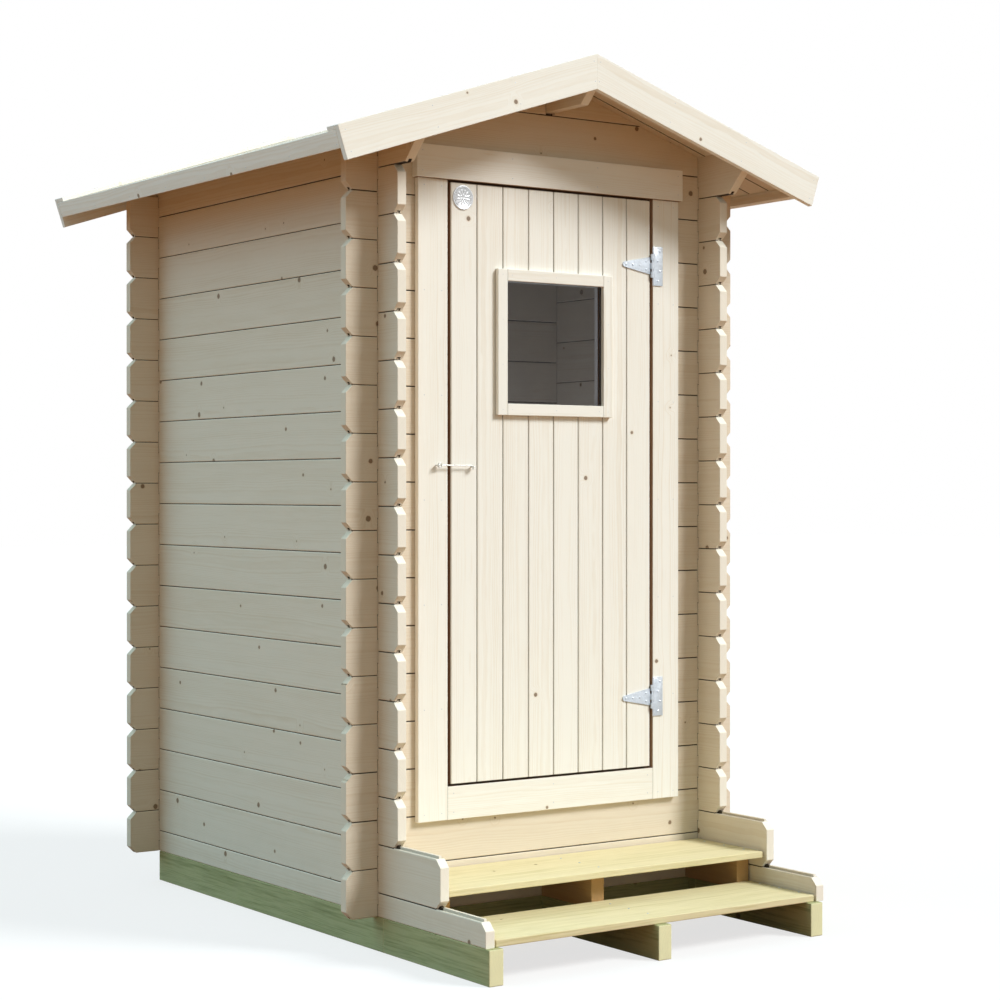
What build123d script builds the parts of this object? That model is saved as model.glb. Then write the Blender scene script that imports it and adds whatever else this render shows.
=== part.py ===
from build123d import *
import math
import os

# Wooden outhouse of interlocking tongue-and-groove wall logs.
# Millimetres, +Z up.  X runs across the front, -Y is the door side, z = 0 is the ground.
# The origin lies on the underside of the centre bearer, in the middle of the cabin's plan.

# ---------------------------------------------------------------- driving sizes
fit = 0.3                  # running clearance between pieces that seat on each other
spare = 20.0               # how far a cutting block reaches past what it cuts

log_height = 133.0         # cover height of one wall log
log_thick = 28.0
log_bevel = 2.5            # small bevels that make the V joints between logs
tongue_width = 9.0
tongue_height = 7.0
full_courses = 16          # full logs in the front and rear walls, under the gable
cabin_width = 1173.0       # over the outer faces of the side walls
cabin_depth = 1382.0       # over the outer faces of the front and rear walls
stub_length = 102.0        # log ends past the corner
stub_cut = 22.0            # 45 degree cut of a log end's corners

beam_width = 45.0
beam_height = 95.0
beam_right_inset = 18.0    # the bearers stand this far in under the right wall
side_beam_front = 29.0     # side beams reach this far in front of the front wall
side_beam_rear_inset = 28.0

joist_reach = 540.0        # step joists in front of the front wall
lower_cheek_reach = 524.0
upper_cheek_reach = 313.0
lower_tread_front = 521.0
upper_tread_front = 303.0
lower_tread_depth = 280.0
tread_thick = 19.0
tread_side_gap = 6.0       # between tread ends and the cheeks

roof_pitch = 18.2          # degrees
roof_ridge_course = 17.83  # height of the roof boards' underside at the ridge, in courses
roof_board_thick = 18.0
roof_front = 226.0         # bargeboard face in front of the front wall
roof_rear = 205.0
roof_half_span = 848.0     # to the bargeboards' top outer corner
barge_width = 95.0
barge_thick = 18.0
barge_upstand = 13.0       # bargeboard top above the roof boards
lath_width = 40.0
fascia_height = 49.0
fascia_thick = 18.0
purlin_bottom_course = 17.0
bracket_cut = 68.0         # 45 degree cut under the ends of the top side logs
purlin_cut = 42.0

opening_low_course = 2.5
opening_high_course = 15.5
opening_half_width = 390.3
board_count = 8
board_cover = 89.375
door_board_thick = 19.0
door_board_bevel = 3.0
door_sill_gap = 17.5       # from the opening's edges to the leaf
door_head_gap = 23.5
door_side_gap = 10.5
door_end_gap = 6.5
stop_overlap = 10.0
stop_gap = 5.0
casing_thick = 18.0
casing_width = 98.0
sill_casing_low = 250.0
header_height = 92.0
header_thick = 28.0
header_overhang = 9.0
ledge_height = 76.0
ledge_thick = 19.0
ledge_inset = 24.0
middle_ledge_height = 894.0  # above the leaf's lower edge

window_low = 1421.0        # lower edge of the visible glass, above the wall's foot
window_height = 350.0
window_half_width = 172.0
window_rebate = 6.75
window_trim_width = 33.0
window_trim_thick = 14.0
glass_thick = 4.0

hinge_low_inset = 207.0    # from the leaf's lower and upper edges
hinge_high_inset = 194.0
hinge_plate_height = 116.0
hinge_plate_width = 35.0
hinge_sheet = 3.0
hinge_knuckle_radius = 6.0
hinge_pin_radius = 3.0
strap_length = 102.0
strap_root_height = 52.0
strap_tip_radius = 8.0

latch_height = 894.0       # above the leaf's lower edge
latch_pivot_x = -402.0
latch_eye_x = -290.0
latch_wire_radius = 1.75
latch_ring_radius = 6.0
latch_stand_off = 9.0      # shank of a screw eye, to the middle of its ring's wire
latch_bend_radius = 4.0    # the hook's tip turns down into the door's eye
latch_drop = 9.0

badge_x = -317.0
badge_height = 1997.0
badge_radius = 34.0
badge_thick = 3.0

floor_thick = 19.0
partition_set_back = 725.0  # partition's front face behind the front wall's outer face

# ---------------------------------------------------------------- worked-out places
wall_foot = beam_height
door_low = opening_low_course * log_height + door_sill_gap
door_high = opening_high_course * log_height - door_head_gap
hinge_heights = (door_low + hinge_low_inset, door_high - hinge_high_inset)
half_width = cabin_width / 2
half_depth = cabin_depth / 2
inner_x = half_width - log_thick
inner_y = half_depth - log_thick
front_y = -half_depth
pitch = math.radians(roof_pitch)
ridge_under = wall_foot + roof_ridge_course * log_height
barge_front_y = front_y - roof_front
barge_rear_y = half_depth + roof_rear
roof_front_y = barge_front_y + barge_thick
roof_rear_y = barge_rear_y - barge_thick
slope_top = roof_board_thick + barge_upstand
slope_length = (roof_half_span - slope_top * math.sin(pitch)) / math.cos(pitch)
leaf_half = board_count * board_cover / 2
frame_half = leaf_half + door_side_gap
casing_y = front_y - casing_thick
leaf_front_y = casing_y
leaf_back_y = leaf_front_y + door_board_thick
opening_low = wall_foot + opening_low_course * log_height
opening_high = wall_foot + opening_high_course * log_height
frame_low = wall_foot + door_low - door_end_gap
frame_high = wall_foot + door_high + door_end_gap
floor_top = opening_low - fit
hinge_x = leaf_half + hinge_knuckle_radius - 1.5
hinge_y = leaf_front_y - hinge_knuckle_radius + 1.0


def course(number):
    """Height of a course line of the front and rear walls."""
    return wall_foot + number * log_height


def block(x0, x1, y0, y1, z0, z1):
    """Rectangular solid between two corners."""
    return Pos((x0 + x1) / 2, (y0 + y1) / 2, (z0 + z1) / 2) * Box(x1 - x0, y1 - y0, z1 - z0)


def prism_along_x(points, x0, x1):
    """Outline in (y, z), swept along X."""
    outline = Polyline(*[(x0, y, z) for y, z in points], close=True)
    return extrude(make_face(outline), amount=x1 - x0, dir=(1, 0, 0))


def prism_along_y(points, y0, y1):
    """Outline in (x, z), swept along Y."""
    outline = Polyline(*[(x, y0, z) for x, z in points], close=True)
    return extrude(make_face(outline), amount=y1 - y0, dir=(0, 1, 0))


def save(name, solids):
    """Write one node."""
    shape = solids[0] if len(solids) == 1 else Compound(children=list(solids))
    shape.label = name
    export_step(shape, f"parts/{name}.step")


def log_profile(middle, low, high, groove=True, tongue=True):
    """Section of a wall log: tongue above, groove below, bevelled edges."""
    half = log_thick / 2
    top = high - fit
    points = [(middle - half, low + log_bevel)]
    points.append((middle - half, top - log_bevel))
    points.append((middle - half + log_bevel, top))
    if tongue:
        points.append((middle - tongue_width / 2, top))
        points.append((middle - tongue_width / 2, top + tongue_height))
        points.append((middle + tongue_width / 2, top + tongue_height))
        points.append((middle + tongue_width / 2, top))
    points.append((middle + half - log_bevel, top))
    points.append((middle + half, top - log_bevel))
    points.append((middle + half, low + log_bevel))
    points.append((middle + half - log_bevel, low))
    if groove:
        groove_half = tongue_width / 2 + fit
        points.append((middle + groove_half, low))
        points.append((middle + groove_half, low + tongue_height + fit))
        points.append((middle - groove_half, low + tongue_height + fit))
        points.append((middle - groove_half, low))
    points.append((middle - half + log_bevel, low))
    return points


def corner_cutter(reach, height, size, direction, upward):
    """Outline in (run, z) that cuts a log end's corner at 45 degrees."""
    rise = spare if upward else -spare
    slope = size if upward else -size
    tip = reach + direction * spare
    return [
        (reach - direction * size, height),
        (reach, height - slope),
        (tip, height - slope),
        (tip, height + rise),
        (reach - direction * size, height + rise),
    ]


def notch_y(solid, y_middle, low, high, lower_notch=True):
    """Lap a side log (running along Y) over the front or rear wall at y_middle."""
    half = log_thick / 2 + fit
    quarter = log_height / 4
    middle = (low + high) / 2 if lower_notch else high - log_height / 2
    x0, x1 = -half_width - log_thick, half_width + log_thick
    if lower_notch:
        solid -= block(x0, x1, y_middle - half, y_middle + half, low - spare, middle - quarter)
    top = high + spare
    solid -= block(x0, x1, y_middle - half, y_middle + half, middle + quarter - fit, top)
    return solid


def notch_x(solid, x_middle, low, high):
    """Lap a front or rear log (running along X) over a side wall at x_middle."""
    half = log_thick / 2 + fit
    quarter = log_height / 4
    middle = (low + high) / 2
    y0, y1 = -half_depth - log_thick, half_depth + log_thick
    solid -= block(x_middle - half, x_middle + half, y0, y1, low - spare, middle - quarter)
    top = high + spare
    solid -= block(x_middle - half, x_middle + half, y0, y1, middle + quarter - fit, top)
    return solid


# ---------------------------------------------------------------- front and rear logs
corner_x = half_width - log_thick / 2
corner_y = half_depth - log_thick / 2
end_x = half_width + stub_length
end_y = half_depth + stub_length


def cross_log(number, y_middle, x0, x1):
    """Log of a front or rear wall from x0 to x1, lapped where it crosses a side wall."""
    low = course(number)
    high = course(number + 1)
    solid = prism_along_x(log_profile(y_middle, low, high), x0, x1)
    y0, y1 = y_middle - log_thick, y_middle + log_thick
    for end, direction in ((x0, -1), (x1, 1)):
        if abs(end) < half_width:
            continue
        solid = notch_x(solid, direction * corner_x, low, high)
        for height, upward in ((high - fit, True), (low, False)):
            outline = corner_cutter(end, height, stub_cut, direction, upward)
            solid -= prism_along_y(outline, y0, y1)
    return solid


def roof_underside(x):
    """Height of the roof boards' underside over x."""
    return ridge_under - math.tan(pitch) * abs(x)


def gable_logs(y_middle):
    """Sloping log under the roof and the two wedges beside the ridge purlin."""
    x_end = inner_x - fit
    profile = log_profile(y_middle, course(16), course(17))
    solid = prism_along_x(profile, -x_end, x_end)
    y0, y1 = y_middle - log_thick, y_middle + log_thick
    top = course(17) + spare
    for side in (-1, 1):
        x_top = (ridge_under - fit - top) / math.tan(pitch)
        x_far = inner_x + log_thick
        outline = [
            (side * x_top, top),
            (side * x_far, roof_underside(x_far) - fit),
            (side * x_far, top),
        ]
        solid -= prism_along_y(outline, y0, y1)
    pieces = [solid]
    for side in (-1, 1):
        profile = log_profile(y_middle, course(17), course(18), tongue=False)
        x0 = side * (log_thick / 2 + fit)
        x1 = side * (ridge_under - fit - course(17)) / math.tan(pitch)
        wedge = prism_along_x(profile, min(x0, x1), max(x0, x1))
        far = side * (abs(x1) + log_thick)
        outline = [
            (0, ridge_under - fit),
            (far, roof_underside(far) - fit),
            (far, course(18) + spare),
            (0, course(18) + spare),
        ]
        pieces.append(wedge - prism_along_y(outline, y0, y1))
    return pieces


def side_log(number, side):
    """Log of a side wall, centred on a course line, with its lapped corners."""
    low = max(course(number) - log_height / 2, wall_foot)
    high = course(number) + log_height / 2
    reach = stub_length
    if number == 0:
        reach = lower_cheek_reach
    if number == 1:
        reach = upper_cheek_reach
    near = front_y - reach
    profile = log_profile(side * corner_x, low, high, groove=number > 0)
    solid = prism_along_y(profile, near, end_y)
    for y_middle in (-corner_y, corner_y):
        solid = notch_y(solid, y_middle, low, high, lower_notch=number > 0)
    x0 = side * corner_x - log_thick
    x1 = side * corner_x + log_thick
    for end, direction in ((near, -1), (end_y, 1)):
        outline = corner_cutter(end, high - fit, stub_cut, direction, True)
        solid -= prism_along_x(outline, x0, x1)
        if number > 0:
            outline = corner_cutter(end, low, stub_cut, direction, False)
            solid -= prism_along_x(outline, x0, x1)
    return solid


def top_side_log(side):
    """Wall plate under the roof boards: runs out as a bracket at both gables."""
    low = course(15.5)
    near = roof_front_y + fit
    far = roof_rear_y - fit
    high = roof_underside(inner_x) + 2 * log_bevel
    profile = log_profile(side * corner_x, low, high, tongue=False)
    solid = prism_along_y(profile, near, far)
    quarter = log_height / 4
    half = log_thick / 2 + fit
    x0 = side * corner_x - log_thick
    x1 = side * corner_x + log_thick
    for y_middle in (-corner_y, corner_y):
        solid -= block(x0, x1, y_middle - half, y_middle + half, low - spare, low + quarter)
    for end, direction in ((near, -1), (far, 1)):
        outline = corner_cutter(end, low, bracket_cut, direction, False)
        solid -= prism_along_x(outline, x0, x1)
    outline = [
        (x0, roof_underside(x0) - fit),
        (x1, roof_underside(x1) - fit),
        (x1, high + log_height),
        (x0, high + log_height),
    ]
    return solid - prism_along_y(outline, near - spare, far + spare)


# ---------------------------------------------------------------- foundation and steps
beam_places = (
    -half_width + beam_width / 2,
    -beam_right_inset / 2,
    half_width - beam_right_inset - beam_width / 2,
)


def beam(x, y0, y1, z):
    """Bearer section laid along Y, centred at x, standing on z."""
    half = beam_width / 2
    return block(x - half, x + half, y0, y1, z, z + beam_height)


def foundation():
    """Bearers that carry the walls, and the joists that carry the steps."""
    side_rear = half_depth - side_beam_rear_inset
    side_front = front_y - side_beam_front
    left, middle, right = beam_places
    sides = [
        beam(left, side_front, side_rear, 0),
        beam(right, side_front, side_rear, 0),
    ]
    x0 = left + beam_width / 2 + fit
    x1 = right - beam_width / 2 - fit
    cross = [
        block(x0, x1, front_y, front_y + beam_width, 0, beam_height),
        block(x0, x1, side_rear - beam_width, side_rear, 0, beam_height),
    ]
    centre_front = front_y + beam_width + fit
    centre = beam(middle, centre_front, side_rear - beam_width - fit, 0)
    joist_front = front_y - joist_reach
    joists = [
        beam(left, joist_front, side_front - fit, 0),
        beam(middle, joist_front, front_y - fit, 0),
        beam(right, joist_front, side_front - fit, 0),
    ]
    save("side_beams", sides)
    save("cross_beams", cross)
    save("centre_beam", [centre])
    save("step_joists", joists)


def steps():
    """Two plain treads: the lower one on the joists, the upper one on blocks behind it."""
    cheek_x = inner_x - tread_side_gap
    lower_y = front_y - lower_tread_front
    upper_y = front_y - upper_tread_front
    low = wall_foot + fit
    lower_back = lower_y + lower_tread_depth
    tread = block(-cheek_x, cheek_x, lower_y, lower_back, low, low + tread_thick)
    save("lower_tread", [tread])
    block_x = cheek_x - beam_width / 2
    block_front = lower_back + 2 * fit
    block_back = front_y - 2 * fit
    places = (-block_x, beam_places[1], block_x)
    save("tread_blocks", [beam(x, block_front, block_back, low) for x in places])
    low += beam_height + fit
    back = front_y - tread_side_gap
    save("upper_tread", [block(-cheek_x, cheek_x, upper_y, back, low, low + tread_thick)])


def floor_pieces():
    """Raised floor at the height of the door sill, on joists and wall ledgers."""
    x_end = inner_x - fit
    y_end = inner_y - fit
    low = floor_top - floor_thick
    save("floor", [block(-x_end, x_end, -y_end, y_end, low, floor_top)])
    joist_top = low - fit
    joist_low = joist_top - beam_height
    joists = []
    joist_count = 4
    for index in range(joist_count):
        y = -y_end + beam_width / 2 + index * (2 * y_end - beam_width) / (joist_count - 1)
        half = beam_width / 2
        joists.append(block(-x_end, x_end, y - half, y + half, joist_low, joist_top))
    save("floor_joists", joists)
    ledgers = []
    ledger_top = joist_low - fit
    for side in (-1, 1):
        x0, x1 = sorted((side * x_end, side * (x_end - beam_width)))
        ledgers.append(block(x0, x1, -y_end, y_end, ledger_top - beam_width, ledger_top))
    save("floor_ledgers", ledgers)


# ---------------------------------------------------------------- walls
def front_wall():
    """Logs under, beside and over the doorway."""
    y = -corner_y
    low_notched = int(opening_low_course)
    high_notched = int(opening_high_course)
    save("front_wall_foot", [cross_log(n, y, -end_x, end_x) for n in range(low_notched)])
    half = opening_half_width
    cutter = block(-half, half, y - log_thick, y + log_thick, opening_low, opening_high)
    save("front_sill_log", [cross_log(low_notched, y, -end_x, end_x) - cutter])
    save("front_lintel_log", [cross_log(high_notched, y, -end_x, end_x) - cutter])
    beside = range(low_notched + 1, high_notched)
    save("front_wall_left", [cross_log(n, y, -end_x, -half) for n in beside])
    save("front_wall_right", [cross_log(n, y, half, end_x) for n in beside])
    save("front_gable", gable_logs(y))


def rear_wall():
    """Rear logs, unbroken."""
    save("rear_wall", [cross_log(n, corner_y, -end_x, end_x) for n in range(full_courses)])
    save("rear_gable", gable_logs(corner_y))


def side_walls():
    """Side logs, half a course out of step with the front and rear walls."""
    for name, side in (("left", -1), ("right", 1)):
        save(f"{name}_wall", [side_log(n, side) for n in range(full_courses)])
    save("wall_plates", [top_side_log(side) for side in (-1, 1)])


def partition():
    """Inner cross wall of the same logs, between the side walls, floor to roof."""
    y = front_y + partition_set_back + log_thick / 2
    x_end = inner_x - fit
    first = int(opening_low_course)
    profile = log_profile(y, floor_top + fit, course(first + 1), groove=False)
    logs = [prism_along_x(profile, -x_end, x_end)]
    for number in range(first + 1, full_courses):
        profile = log_profile(y, course(number), course(number + 1))
        logs.append(prism_along_x(profile, -x_end, x_end))
    save("partition_wall", logs + gable_logs(y))


# ---------------------------------------------------------------- roof
def slope_prism(side, s0, s1, n0, n1, y0, y1):
    """Box laid on a roof slope: s runs down from the ridge, n up from the underside."""
    across, up = math.sin(pitch), math.cos(pitch)
    corners = []
    for s, n in ((s0, n0), (s1, n0), (s1, n1), (s0, n1)):
        x = s * up + n * across
        z = ridge_under - s * across + n * up
        corners.append((side * x, z))
    return prism_along_y(corners, y0, y1)


def ridge_trimmed(side, s1, n0, n1, y0, y1):
    """Sloping board from the ridge plane down to s1, mitred at the ridge."""
    overrun = barge_width
    solid = slope_prism(side, -overrun, s1, n0, n1, y0, y1)
    x0, x1 = sorted((side * fit / 2, -side * 2 * overrun))
    z0, z1 = ridge_under - 2 * overrun, ridge_under + 2 * overrun
    return solid - block(x0, x1, y0 - spare, y1 + spare, z0, z1)


def roof():
    """Boarded slopes with edge laths, eave fascias, bargeboards and ridge purlin."""
    board_end = slope_length - fascia_thick - fit
    top = roof_board_thick
    laths = []
    bargeboards = []
    fascias = []
    for name, side in (("left", -1), ("right", 1)):
        y0, y1 = roof_front_y + fit, roof_rear_y - fit
        save(f"roof_{name}", [ridge_trimmed(side, board_end, 0, top, y0, y1)])
        fascias.append(
            slope_prism(side, board_end + fit, slope_length, top - fascia_height, top, y0, y1)
        )
        low, high = top + fit, top + barge_upstand
        laths.append(ridge_trimmed(side, slope_length, low, high, y0, y0 + lath_width))
        laths.append(ridge_trimmed(side, slope_length, low, high, y1 - lath_width, y1))
        low = high - barge_width
        for y0, y1 in ((barge_front_y, roof_front_y), (roof_rear_y, barge_rear_y)):
            bargeboards.append(ridge_trimmed(side, slope_length, low, high, y0, y1))
    save("edge_laths", laths)
    save("eave_fascias", fascias)
    save("bargeboards", bargeboards)
    near = roof_front_y + fit
    far = roof_rear_y - fit
    bottom = course(purlin_bottom_course) + tongue_height + fit
    half = log_thick / 2
    purlin = block(-half, half, near, far, bottom, ridge_under + spare)
    for end, direction in ((near, -1), (far, 1)):
        outline = corner_cutter(end, bottom, purlin_cut, direction, False)
        purlin -= prism_along_x(outline, -half - spare, half + spare)
    crest = [
        (-2 * half, roof_underside(2 * half) - fit),
        (0, ridge_under - fit),
        (2 * half, roof_underside(2 * half) - fit),
        (2 * half, ridge_under + 2 * spare),
        (-2 * half, ridge_under + 2 * spare),
    ]
    save("ridge_purlin", [purlin - prism_along_y(crest, near - spare, far + spare)])


# ---------------------------------------------------------------- door frame
def door_frame():
    """Frame boards in the log opening, stops behind the leaf, casings in front."""
    side = frame_half
    outer = opening_half_width - fit
    y0, y1 = front_y, front_y + log_thick
    frame = [
        block(-outer, -side, y0, y1, opening_low + fit, opening_high - fit),
        block(side, outer, y0, y1, opening_low + fit, opening_high - fit),
        block(-side + fit, side - fit, y0, y1, opening_low + fit, frame_low),
        block(-side + fit, side - fit, y0, y1, frame_high, opening_high - fit),
    ]
    save("door_frame", frame)
    stop_y = leaf_back_y + stop_gap
    stop = leaf_half - stop_overlap
    low, high = frame_low + fit, frame_high - fit
    stop_low = wall_foot + door_low + stop_overlap
    stop_high = wall_foot + door_high - stop_overlap
    stops = [
        block(-side + fit, -stop, stop_y, y1, low, high),
        block(stop, side - fit, stop_y, y1, low, high),
        block(-stop + fit, stop - fit, stop_y, y1, low, stop_low),
        block(-stop + fit, stop - fit, stop_y, y1, stop_high, high),
    ]
    save("door_stops", stops)
    y0, y1 = casing_y, front_y - fit
    edge = side + casing_width
    casing_low = wall_foot + sill_casing_low
    casings = [
        block(-edge, -side, y0, y1, casing_low, frame_high - fit),
        block(side, edge, y0, y1, casing_low, frame_high - fit),
        block(-side + fit, side - fit, y0, y1, casing_low, frame_low),
    ]
    save("door_casings", casings)
    header_y = front_y - header_thick
    wide = edge + header_overhang
    header = block(-wide, wide, header_y, y1, frame_high, frame_high + header_height)
    save("door_header", [header])
    y0, y1 = -inner_y + fit, -inner_y + fit + casing_thick
    inner = [
        block(-edge, -side, y0, y1, floor_top + fit, frame_high - fit),
        block(side, edge, y0, y1, floor_top + fit, frame_high - fit),
        block(-edge, edge, y0, y1, frame_high, frame_high + casing_width),
    ]
    save("inner_casings", inner)


# ---------------------------------------------------------------- door leaf
def door_board(x0, z0, z1):
    """One vertical matched board, tongue to the right, groove to the left."""
    y0, y1 = leaf_front_y, leaf_back_y
    x1 = x0 + board_cover - fit
    middle = (y0 + y1) / 2
    tongue = 3.0
    reach = 6.0
    bevel = door_board_bevel
    points = [(x0 + bevel, y0), (x1 - bevel, y0), (x1, y0 + bevel)]
    if x1 < leaf_half - board_cover / 2:
        points += [(x1, middle - tongue), (x1 + reach, middle - tongue)]
        points += [(x1 + reach, middle + tongue), (x1, middle + tongue)]
    points += [(x1, y1), (x0, y1)]
    if x0 > -leaf_half + board_cover / 2:
        points += [(x0, middle + tongue + fit), (x0 + reach, middle + tongue + fit)]
        points += [(x0 + reach, middle - tongue - fit), (x0, middle - tongue - fit)]
    points.append((x0, y0 + bevel))
    outline = Polyline(*[(x, y, z0) for x, y in points], close=True)
    return extrude(make_face(outline), amount=z1 - z0, dir=(0, 0, 1))


def door_leaf():
    """Boards with the window cut through the middle four, ledges and trims."""
    low, high = wall_foot + door_low, wall_foot + door_high
    glass_low = wall_foot + window_low
    glass_high = glass_low + window_height
    cut_low, cut_high = glass_low - window_rebate, glass_high + window_rebate
    boards = []
    for index in range(board_count):
        x0 = -leaf_half + index * board_cover
        if abs(x0 + board_cover / 2) < window_half_width:
            boards.append(door_board(x0, low, cut_low))
            boards.append(door_board(x0, cut_high, high))
        else:
            boards.append(door_board(x0, low, high))
    save("door_boards", boards)
    x_cut = board_cover * round(window_half_width / board_cover)
    pane = block(
        -x_cut + fit, x_cut - fit, leaf_front_y, leaf_front_y + glass_thick,
        cut_low + fit, cut_high - fit,
    )
    save("window_glass", [pane])
    trim_sides = (
        ("outer", leaf_front_y - window_trim_thick, leaf_front_y - fit),
        ("inner", leaf_back_y + fit, leaf_back_y + window_trim_thick),
    )
    inner = window_half_width
    outer = inner + window_trim_width
    for name, y0, y1 in trim_sides:
        z0, z1 = glass_low - window_trim_width, glass_high + window_trim_width
        pieces = [
            block(-outer, -inner, y0, y1, z0, z1),
            block(inner, outer, y0, y1, z0, z1),
            block(-inner + fit, inner - fit, y0, y1, z0, glass_low),
            block(-inner + fit, inner - fit, y0, y1, glass_high, z1),
        ]
        save(f"window_trim_{name}", pieces)
    ledges = []
    reach = leaf_half - ledge_inset
    y0, y1 = leaf_back_y + fit, leaf_back_y + fit + ledge_thick
    for height in (hinge_heights[0], door_low + middle_ledge_height, hinge_heights[1]):
        z = wall_foot + height
        ledges.append(block(-reach, reach, y0, y1, z - ledge_height / 2, z + ledge_height / 2))
    save("door_ledges", ledges)
    disc = Pos(badge_x, leaf_front_y - fit - badge_thick / 2, wall_foot + badge_height)
    save("badge", [disc * Rot(90, 0, 0) * Cylinder(badge_radius, badge_thick)])


def hinges():
    """Tee hinges: plate on the casing, tapered strap on the leaf, pin through both."""
    plates = []
    straps = []
    pins = []
    barrel = hinge_knuckle_radius
    bore = hinge_pin_radius + 0.1
    for height in hinge_heights:
        z = wall_foot + height
        axis = Pos(hinge_x, hinge_y, z)
        half = strap_root_height / 2
        segment = half * 2 / 3
        y_plate = casing_y - fit
        plate = block(
            hinge_x, frame_half + hinge_plate_width, y_plate - hinge_sheet, y_plate,
            z - hinge_plate_height / 2, z + hinge_plate_height / 2,
        )
        plate -= axis * Cylinder(barrel + fit, hinge_plate_height + 1)
        for direction in (-1, 1):
            middle = direction * (segment / 2 + segment + fit)
            knuckle = Cylinder(barrel, segment)
            arm = block(0, barrel + 2, y_plate - hinge_sheet - hinge_y, y_plate - hinge_y,
                        -segment / 2, segment / 2)
            plate += axis * Pos(0, 0, middle) * (knuckle + arm)
        plate -= axis * Cylinder(bore, hinge_plate_height + 1)
        plates.append(plate)
        tip_x = hinge_x - strap_length
        y_strap = leaf_front_y - fit
        sheet = [
            (hinge_x - barrel - 1, -half),
            (hinge_x - barrel - 1, half),
            (tip_x, strap_tip_radius),
            (tip_x, -strap_tip_radius),
        ]
        sheet = [(x, z + dz) for x, dz in sheet]
        strap = prism_along_y(sheet, y_strap - hinge_sheet, y_strap)
        tip = Rot(90, 0, 0) * Cylinder(strap_tip_radius, hinge_sheet)
        strap += Pos(tip_x, y_strap - hinge_sheet / 2, z) * tip
        strap += block(hinge_x - barrel - 2, hinge_x, y_strap - hinge_sheet, y_strap,
                       z - segment / 2, z + segment / 2)
        strap += axis * Cylinder(barrel, segment)
        strap -= axis * Cylinder(bore, strap_root_height)
        straps.append(strap)
        pins.append(axis * Cylinder(hinge_pin_radius, strap_root_height + 2))
    save("hinge_plates", plates)
    save("hinge_straps", straps)
    save("hinge_pins", pins)


def latch():
    """Wire hook hung on a screw eye in the casing, dropped in an eye on the door."""
    wire = latch_wire_radius
    ring = latch_ring_radius
    y = casing_y - latch_stand_off - ring / 2
    z = wall_foot + door_low + latch_height
    shank_length = latch_stand_off - ring / 2

    def screw_eye(x, height):
        """Flat ring on a screw shank that stands out of the wood."""
        shank = Pos(x, casing_y - fit - shank_length / 2, height) * Rot(90, 0, 0)
        shank = shank * Cylinder(wire + fit, shank_length)
        return Pos(x, y, height) * Torus(ring, wire) + shank

    eye_height = z - 2 * wire - fit
    save("casing_eye", [screw_eye(latch_pivot_x - ring, z)])
    save("door_eye", [screw_eye(latch_eye_x, eye_height)])
    loop = Pos(latch_pivot_x, y, z) * Rot(90, 0, 0) * Torus(ring, wire)
    turn = latch_bend_radius
    centre_x = latch_eye_x - turn
    lean = turn * math.sin(math.radians(45))
    arm = Line((latch_pivot_x + ring, y, z), (centre_x, y, z))
    middle = (centre_x + lean, y, z - turn + lean)
    bend = ThreePointArc(arm @ 1, middle, (latch_eye_x, y, z - turn))
    drop = Line(bend @ 1, (latch_eye_x, y, z - turn - latch_drop))
    path = Wire([arm, bend, drop])
    section = Plane(origin=arm @ 0, z_dir=(1, 0, 0)) * Circle(wire)
    save("latch_hook", [loop + sweep(section, path=path)])


os.makedirs("parts", exist_ok=True)
foundation()
steps()
floor_pieces()
front_wall()
rear_wall()
side_walls()
partition()
roof()
door_frame()
door_leaf()
hinges()
latch()
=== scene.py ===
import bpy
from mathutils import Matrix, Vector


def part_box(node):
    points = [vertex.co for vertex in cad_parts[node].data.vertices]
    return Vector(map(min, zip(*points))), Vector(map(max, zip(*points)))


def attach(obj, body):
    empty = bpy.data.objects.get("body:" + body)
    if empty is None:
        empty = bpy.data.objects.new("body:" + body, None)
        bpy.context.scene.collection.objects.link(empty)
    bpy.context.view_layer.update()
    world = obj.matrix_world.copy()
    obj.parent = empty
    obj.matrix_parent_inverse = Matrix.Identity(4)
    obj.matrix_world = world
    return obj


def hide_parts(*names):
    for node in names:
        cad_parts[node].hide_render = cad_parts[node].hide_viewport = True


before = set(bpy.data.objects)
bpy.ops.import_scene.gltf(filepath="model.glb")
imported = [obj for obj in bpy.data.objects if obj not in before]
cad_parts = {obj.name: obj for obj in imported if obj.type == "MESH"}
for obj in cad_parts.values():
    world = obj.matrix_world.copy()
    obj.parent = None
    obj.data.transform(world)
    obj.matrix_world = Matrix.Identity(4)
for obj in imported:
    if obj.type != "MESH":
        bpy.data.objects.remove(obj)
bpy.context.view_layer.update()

import math
import random

import bmesh
import bpy
from bpy.props import FloatProperty, FloatVectorProperty, IntProperty, PointerProperty
from mathutils import Matrix, Vector
from mathutils.bvhtree import BVHTree

bl_info = {
    "name": "Wooden Outhouse",
    "version": (1, 0, 0),
    "blender": (4, 5, 0),
    "location": "View3D > Sidebar > Outhouse",
    "description": "Dresses the log outhouse: boards, eased edges, fixings, timber finishes and stage",
    "category": "Object",
}

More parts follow.
